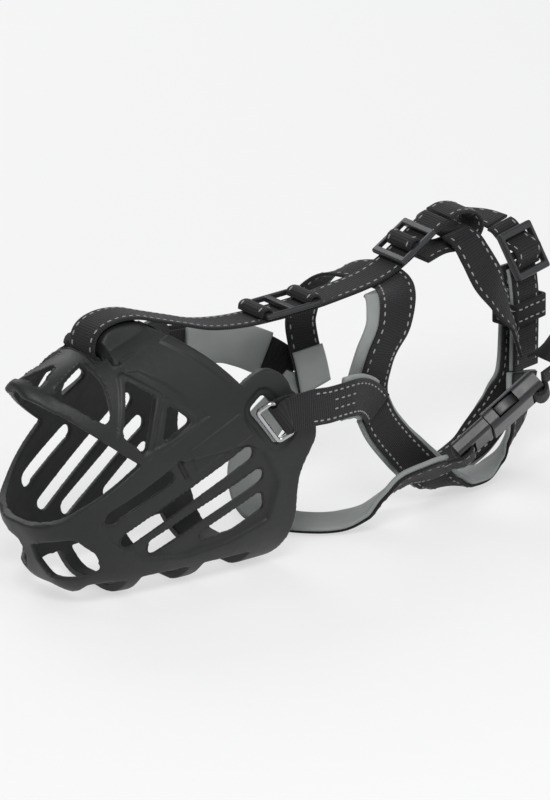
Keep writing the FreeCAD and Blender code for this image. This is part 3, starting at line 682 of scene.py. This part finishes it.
def cheek(sign, tag):
    """From its eye on the ring back to the junction behind the cheek."""
    front, rear, along = ring_places(sign)
    back = (Vector(X) - along * along.x).normalized()
    radius = WIRE_DIA / 2 + CLEAR + T / 2 + EYE_ROOM
    eye = around(rear, radius, 60, 300, 7, back, Vector((0, -sign, 0)))
    up = (-along.x, 0, -along.z)
    inner = [(93, sign * 45.2, 71.6), (82, sign * 45.7, 72.6)]
    join = 26.9 if sign < 0 else 29.3   # how far out the strap ends on its neck strap
    outer = [(80, sign * 48.4, 74.2), (91, sign * 47.2, 72.6), (101, sign * 45.2, 71.6),
             (109, sign * 42.8, 70.4), (118, sign * 37.4, 66.8), (127, sign * (join + 4.5), 61),
             (134, sign * join, 54.5)]
    sides = [(-0.25, 0, 0.97), (-0.4, 0, 0.92)] + [up] * len(eye)
    sides += [(-0.45, 0, 0.9), (-0.2, 0, 0.98), Z, Z, (0.25, 0, 0.97), (0.55, 0, 0.83), (0.8, 0, 0.6)]
    run = Run(inner + eye + outer, sides)
    webbing("cheek_webbing_" + tag, run, "cheek_strap_" + tag)
    length = run.length / MM
    out = -sign * T / 2
    jobs = both_rows(run, out, length - 62)
    # two short inner rows sew the eye's end down
    jobs += [(run, q * 2.0, out, length - 50, length - 34) for q in (-1, 1)]
    stitching("cheek_stitching_" + tag, "muzzle", jobs)
    if sign < 0:
        padding("cheek_padding_left", run.part(length - 41.0, 9.0), sign, "cheek_lining_left")
        return
    # the far lining runs on forwards, inside both layers of the strap
    rows = run.part(length - 36.0, 9.0).stations[::8]
    inward = (T + P) / 2 + GAP
    path = [at(88, 43.1, 72.0), at(95, 43.1, 71.5)] + [row[1] + row[3] * (inward * MM) for row in rows]
    lined = Run(path, [(-0.2, 0, 0.98), (-0.1, 0, 0.99)] + [row[2] for row in rows])
    pad = band("cheek_padding_right", lined, LINED, -P / 2, P / 2, LINING, "muzzle", "lining",
               "cheek_lining_right", crown=CROWN)


def neck_left():
    """From the left junction down, along the table and up behind the neck, its lining upwards."""
    points = [(134.3, -25.0, 54.0), (140, -23.6, 44.5), (150, -21.2, 33), (160, -19.4, 22.6), (170, -18, 13),
              (180, -14.5, 6.2), (190, -12, 3.2), (200, -10, 2.8), (212, -8.5, 5.2), (221, -7.4, 12),
              (228, -6.2, 24), (231.6, -5.2, 41)]
    sides = [(0.8, 0, 0.6), (0.75, 0, 0.65), (0.7, 0, 0.7), (0.6, -0.2, 0.75), (0.35, -0.55, 0.75),
             (0.15, -0.85, 0.5), (0, -0.99, 0.12), (0, -0.99, 0.06), (-0.2, -0.9, 0.4), (-0.5, -0.7, 0.5),
             (-0.8, -0.45, 0.3), (-0.98, -0.2, 0.05)]
    run = Run(points, sides)
    webbing("neck_webbing_left", run, "neck_strap_left")
    padding("neck_padding_left", run, -1, "neck_lining_left")
    stitching("neck_stitching_left", "muzzle", both_rows(run, T / 2, 1))


def buckle_frame():
    """The buckle's place and its directions: lengthwise, across and out of its face."""
    base = Vector((176.8, -30.0, 26.7))
    a = Vector((0.786, -0.205, 0.583)).normalized()
    s = Vector((-0.567, -0.615, 0.548))
    s = (s - a * s.dot(a)).normalized()
    return base, a, s, a.cross(s)


def in_buckle(points):
    base, a, s, n = buckle_frame()
    return [tuple(base + a * x + s * y + n * z) for x, y, z in points]


BUCKLE_THICK = 9.2
BUCKLE_END = 43.0    # from the plug's end to the socket's
PLUG_INSET = 1.4     # the plug's bar end is thinner than the socket by this much on each face


def neck_right():
    """From the right junction down, across the table and up over the bar of the buckle's plug."""
    s = tuple(buckle_frame()[2])
    h = BUCKLE_THICK / 2 - PLUG_INSET + CLEAR + T / 2 + 0.2
    bar = [(-12, 0, 0.5), (-6.5, 0, 2.2), (-3.5, 0, h - 0.3), (-0.7, 0, h + 0.1), (2.3, 0, h),
           (3.5, 0, h - 1.4), (3.6, 0, 0.5)]
    points = [(134.3, 24.8, 54.0), (128.6, 28.4, 45), (118, 32, 32.5), (108, 30, 15), (104, 18, 4),
              (106, 5, 1.6), (113.3, -7.7, 1.6), (124, -15.5, 2.2), (133, -22, 6.5), (139, -26.5, 14),
              (146, -30, 20.0), (155, -31.4, 21.6)]
    sides = [(-0.8, 0, 0.6), (-0.8, 0, 0.6), (-0.75, 0.1, 0.62), (-0.85, 0.1, 0.3), (-1, 0, 0),
             (-0.94, -0.34, 0), (-0.75, -0.66, 0), (-0.58, -0.79, 0), (-0.6, -0.75, 0.1),
             (-0.57, -0.68, 0.3), (-0.57, -0.62, 0.5)]
    sides += [s] * (1 + len(bar))
    run = Run(points + in_buckle(bar), sides)
    webbing("neck_webbing_right", run, "neck_strap_right")
    padding("neck_padding_right", run.part(0.0, 24.0), -1, "neck_lining_right")
    stitching("neck_stitching_right", "muzzle", both_rows(run, T / 2, 1))


def rear():
    """Two lined layers that hang from the rear adjuster."""
    out = (0.98, 0.2, 0)
    line = [(232.2, -2.4, 88), (232.4, -3.6, 83), (232.6, -4.6, 74), (232.4, -4.9, 62), (232.0, -5, 43)]
    run = Run(line, [out] * 5)
    webbing("rear_webbing_outer", run, "rear_strap_outer")
    padding("rear_padding_outer", run, -1, "rear_lining_outer", WIDE)
    stitching("rear_stitching_outer", "muzzle", both_rows(run, T / 2, 1))
    line = [(231.4, 2.2, 88), (231.2, 1.1, 83), (230.9, 0.5, 74), (230.6, 0.5, 62), (229.8, 1.4, 42),
            (226.6, 4.2, 27), (219.5, 8, 14.5), (210, 9.2, 6.8), (197, 9.8, 3.8), (184, 10, 3.6)]
    back = (-0.98, -0.2, 0.05)
    sides = [back] * 5 + [(-0.8, 0.35, 0.4), (-0.45, 0.75, 0.4), (-0.2, 0.95, 0.2), Y, Y]
    run = Run(line, sides)
    webbing("rear_webbing_inner", run, "rear_strap_inner")
    padding("rear_padding_inner", run, 1, "rear_lining_inner", WIDE)
    stitching("rear_stitching_inner", "muzzle", both_rows(run, -T / 2, 1))


def crown():
    """Through the crown loop: one end hangs beside the rear strap, the other runs to the rear adjuster."""
    low = [(219.4, -16, 58), (215, -16.6, 70.5), (208, -16.8, 83), (201.5, -15.8, 95), (197.6, -13, 104.4),
           (196, -9.4, 109.8), (195, -3.4, 112.0)]
    side = [(0.6, 0.72, -0.35), (0.64, 0.68, -0.25), (0.78, 0.4, 0.1), (0.95, 0, 0.25), X, X, X]
    run = Run(low, side)
    webbing("crown_webbing_left", run, "crown_strap_left")
    stitching("crown_stitching_left", "muzzle", both_rows(run, T / 2) + both_rows(run, -T / 2))
    high = [(195.0, -2.8, 112.1), (195.6, 7, 112.9), (199.5, 15.5, 112.0), (209, 20.8, 109.6),
            (220, 20, 107.2), (227.5, 14.8, 105.4), (229.4, 10.4, 104.4)]
    side = [X, (0.98, -0.15, 0), (0.8, -0.6, 0), (0.2, -0.97, 0), (-0.45, -0.9, 0), (-0.85, -0.5, 0),
            (-0.97, -0.25, 0)]
    run = Run(high, side)
    webbing("crown_webbing_right", run, "crown_strap_right")
    stitching("crown_stitching_right", "muzzle", both_rows(run, T / 2) + both_rows(run, -T / 2))


def buckle_loops():
    """The socket's webbing loops over its bar and runs to the rear strap."""
    s = tuple(buckle_frame()[2])
    end = BUCKLE_END
    h = BUCKLE_THICK / 2 + CLEAR + T / 2
    loop = [(end - 4.6, 0, 0), (end - 4.6, 0, h - 1.0), (end - 3.6, 0, h + 0.6), (end - 1.6, 0, h + 0.9),
            (end + 0.6, 0, h), (end + 1.5, 0, h - 1.4), (end + 2.2, 0, 1.2)]
    tail = [(224.5, -37.5, 56.6), (231, -30.5, 58.4), (235, -21, 57.6), (236.6, -13.6, 55.5),
            (236.4, -9.2, 51)]
    sides = [s] * len(loop)
    sides += [(-0.35, -0.6, 0.7), (-0.1, -0.5, 0.85), (0.4, -0.2, 0.9), (0.8, 0.1, 0.6), (0.98, 0.2, 0.1)]
    run = Run(in_buckle(loop) + tail, sides)
    webbing("buckle_loop_webbing", run, "female_webbing_loop")
    stitching("buckle_loop_stitching", "muzzle", both_rows(run, T / 2, 16, 26) + both_rows(run, T / 2, 40))


FRAME_THICK = 2.4
FRONT_SLIDER_LONG = 29.0


def over_bar(c):
    """The profile of webbing folded over one bar of a frame, as (along, out) pairs."""
    z = FRAME_THICK / 2 + CLEAR + T / 2
    reach = BAR / 2 + CLEAR + T / 2
    bend, rise = reach * 0.8, z * 0.8
    return [(c - reach, -0.5), (c - bend, rise), (c, z + 0.3), (c + bend, rise), (c + reach, -0.5)]


def fold(name, body, place, profile, *nodes):
    """Webbing through a frame, with a row of stitches near each edge."""
    centre, along, side = [Vector(v) for v in place]
    along.normalize()
    side = (side - along * side.dot(along)).normalized()
    up = along.cross(side)
    run = Run([tuple(centre + along * x + up * h) for x, h in profile], [side] * len(profile), 0.5)
    band(name, run, WIDE, -T / 2, T / 2, WEBBING, body, "webbing", *nodes)
    stitching(name + "_stitching", body, both_rows(run, T / 2, 1.0, run.length / MM - 1.0))


def sliders():
    """Webbing of the two sliders and of the rear adjuster."""
    lift = T / 2 + CLEAR + FRAME_THICK / 2
    bar = (FRONT_SLIDER_LONG - BAR) / 2
    place = ((103.3, 0, 98.0 + lift + 0.4), X, Y)
    fold("front_slider_fold_front", "front_slider", place, over_bar(-bar), "slider_front_webbing")
    fold("front_slider_fold_rear", "front_slider", place, over_bar(bar))
    along = Vector((10, 0, 5.7)).normalized()
    base = Vector((171.6, 0, 110.1)) + Vector((-along.z, 0, along.x)) * (lift + 0.7)
    fold("rear_slider_fold", "rear_slider", (base, along, Y), over_bar(0), "slider_rear_webbing")
    through = [(-14.4, -6.2), (-12.4, -4.4), (-8.6, -2.9), (-4.8, -0.6), (-2.6, 2.0), (0, 3.2), (2.6, 2.0),
               (4.4, -0.2), (6.4, -1.7)]
    place = ((232.2, -3.0, 94.6), (0.15, -0.47, -0.87), (0.98, 0.2, 0.06))
    fold("adjuster_fold", "muzzle", place, through, "tri_glide_webbing")


FLAT, SHARP = 1, 35   # degrees: faces of one flat, and edges that are rounded
BEVEL_SEGMENTS = 3


def softened(node, body, material, slot, bevel):
    """A moulded piece with its sharp edges rounded."""
    mesh = joined(node)
    bm = bmesh.new()
    bm.from_mesh(mesh)
    bmesh.ops.dissolve_limit(bm, angle_limit=math.radians(FLAT), verts=bm.verts, edges=bm.edges)
    bm.to_mesh(mesh)
    bm.free()
    made = piece(node + "_moulding", mesh, material, body, slot, node)
    edge = made.modifiers.new("Edges", "BEVEL")
    edge.width = bevel * MM
    edge.segments = BEVEL_SEGMENTS
    edge.limit_method = "ANGLE"
    edge.angle_limit = math.radians(SHARP)
    edge.use_clamp_overlap = True
    made.modifiers.new("Shade", "WEIGHTED_NORMAL")


KEEPER_AT = (231.6, -1.2, 69)
KEEPER_TURN = 11.5
KEEPER_DEEP = 5.2
KEEPER_CORNER = 2


def keeper_stitching():
    """Two rows of stitches round the keeper's near faces."""
    turn = math.radians(KEEPER_TURN)
    half, deep = WIDE / 2 + 4 * CLEAR + T, KEEPER_DEEP + T
    r = KEEPER_CORNER
    corners = ((-half, 4), (-half, 0), (-half, r - deep), (r - half, -deep), (0, -deep),
               (half - r, -deep), (half, r - deep))
    cx, cy, cz = KEEPER_AT
    path = []
    for x, y in corners:
        path.append((cx + x * math.cos(turn) - y * math.sin(turn),
                     cy + x * math.sin(turn) + y * math.cos(turn), cz))
    run = Run(path, [Z] * len(path), 0.6)
    out = run.stations[len(run.stations) // 2][3]
    height = 0.02 if out.y < 0 else -0.02
    stitching("keeper_stitching", "keeper", [(run, q * 2.6, height, 0, None) for q in (-1, 1)])


# node, body and rounding of each fitting
FITTINGS = (("slider_front_frame", "front_slider", 0.5), ("slider_rear_frame", "rear_slider", 0.5),
            ("tri_glide", "muzzle", 0.6), ("buckle_female", "muzzle", 0.6), ("buckle_male", "muzzle", 0.6),
            ("prong_upper", "upper_prong", 0.6), ("prong_lower", "lower_prong", 0.6))


def hardware():
    """The plastic fittings and the sewn keeper."""
    for node, body, bevel in FITTINGS:
        softened(node, body, PLASTIC, "black_plastic", bevel)
    softened("strap_keeper", "keeper", WEBBING, "webbing", 0.4)
    keeper_stitching()


# ------------------------------------------------------------------ room

FLOOR_HALF = 4
FLOOR_DROP = 0.0002
FLOOR_GLOW = 0.6      # keeps the floor as pale as the surround
SKY_STRENGTH = 0.33


def room():
    """A pale floor and an even white surround."""
    f = FLOOR_HALF
    floor = bpy.data.meshes.new("floor")
    floor.from_pydata([(-f, -f, 0), (f, -f, 0), (f, f, 0), (-f, f, 0)], [], [(0, 1, 2, 3)])
    ground = bpy.data.objects.new("floor", floor)
    ground.location.z = -FLOOR_DROP
    bpy.context.scene.collection.objects.link(ground)
    paint = Finish("pale_floor", (0.86, 0.86, 0.86), 0.9)
    tree = paint.tree
    seen = tree.nodes.new("ShaderNodeLightPath")
    glow = tree.nodes.new("ShaderNodeEmission")
    glow.inputs[0].default_value = (1, 1, 1, 1)
    blend = tree.nodes.new("ShaderNodeMixShader")
    lit = Value(tree, seen.outputs["Is Camera Ray"]).most(Value(tree, seen.outputs["Is Glossy Ray"]))
    share = lit * FLOOR_GLOW
    tree.links.new(share.socket, blend.inputs[0])
    tree.links.new(paint.shader.outputs[0], blend.inputs[1])
    tree.links.new(glow.outputs[0], blend.inputs[2])
    tree.links.new(blend.outputs[0], tree.nodes["Material Output"].inputs[0])
    floor.materials.append(paint.material)
    world = bpy.data.worlds.new("studio")
    bpy.context.scene.world = world
    world.use_nodes = True
    tree = world.node_tree
    sky = tree.nodes["Background"]
    sky.inputs[0].default_value = (0.93, 0.95, 1, 1)
    sky.inputs[1].default_value = SKY_STRENGTH
    bright = tree.nodes.new("ShaderNodeBackground")
    bright.inputs[0].default_value = (1, 1, 1, 1)
    seen = tree.nodes.new("ShaderNodeLightPath")
    blend = tree.nodes.new("ShaderNodeMixShader")
    tree.links.new(seen.outputs["Is Camera Ray"], blend.inputs[0])
    tree.links.new(sky.outputs[0], blend.inputs[1])
    tree.links.new(bright.outputs[0], blend.inputs[2])
    tree.links.new(blend.outputs[0], tree.nodes["World Output"].inputs[0])


LIT = (0.06, 0, 0.05)    # the lamps point at this


def lamp(name, place, size, power):
    """A square lamp that faces the muzzle."""
    light = bpy.data.lights.new(name, "AREA")
    light.size = size
    light.energy = power
    made = bpy.data.objects.new(name, light)
    bpy.context.scene.collection.objects.link(made)
    made.location = place
    made.rotation_euler = (Vector(LIT) - Vector(place)).to_track_quat("-Z", "Y").to_euler()


AIM = (0.0648, 0, 0.0585)
TURN, RISE = -39, 21
SENSOR = 36
DISTANCE = 10.0
VIEW_TALL = 0.3333       # metres that the picture's long side takes in
FURTHEST = 40


def camera():
    """A long lens from the front left, a little above."""
    aim = Vector(AIM)
    turn, rise = math.radians(TURN), math.radians(RISE)
    back = Vector((math.sin(turn) * math.cos(rise), -math.cos(turn) * math.cos(rise), math.sin(rise)))
    lens = bpy.data.cameras.new("camera")
    lens.sensor_width = SENSOR
    lens.lens = SENSOR * DISTANCE / VIEW_TALL
    lens.clip_end = FURTHEST
    made = bpy.data.objects.new("camera", lens)
    bpy.context.scene.collection.objects.link(made)
    made.location = aim + back * DISTANCE
    made.rotation_euler = (-back).to_track_quat("-Z", "Y").to_euler()
    bpy.context.scene.camera = made


bpy.context.scene.view_settings.view_transform = "Standard"
camera()
room()
lamp("key", (-0.5, -0.8, 1.1), 0.5, 11)
lamp("fill", (0.9, -0.9, 0.7), 0.8, 3)
lamp("rim", (0.3, 1.0, 0.9), 0.8, 6)
basket()
forehead()
brow()
for sign, tag in ((-1, "left"), (1, "right")):
    wire_ring(sign, tag)
    cheek(sign, tag)
neck_left()
neck_right()
rear()
crown()
buckle_loops()
sliders()
hardware()
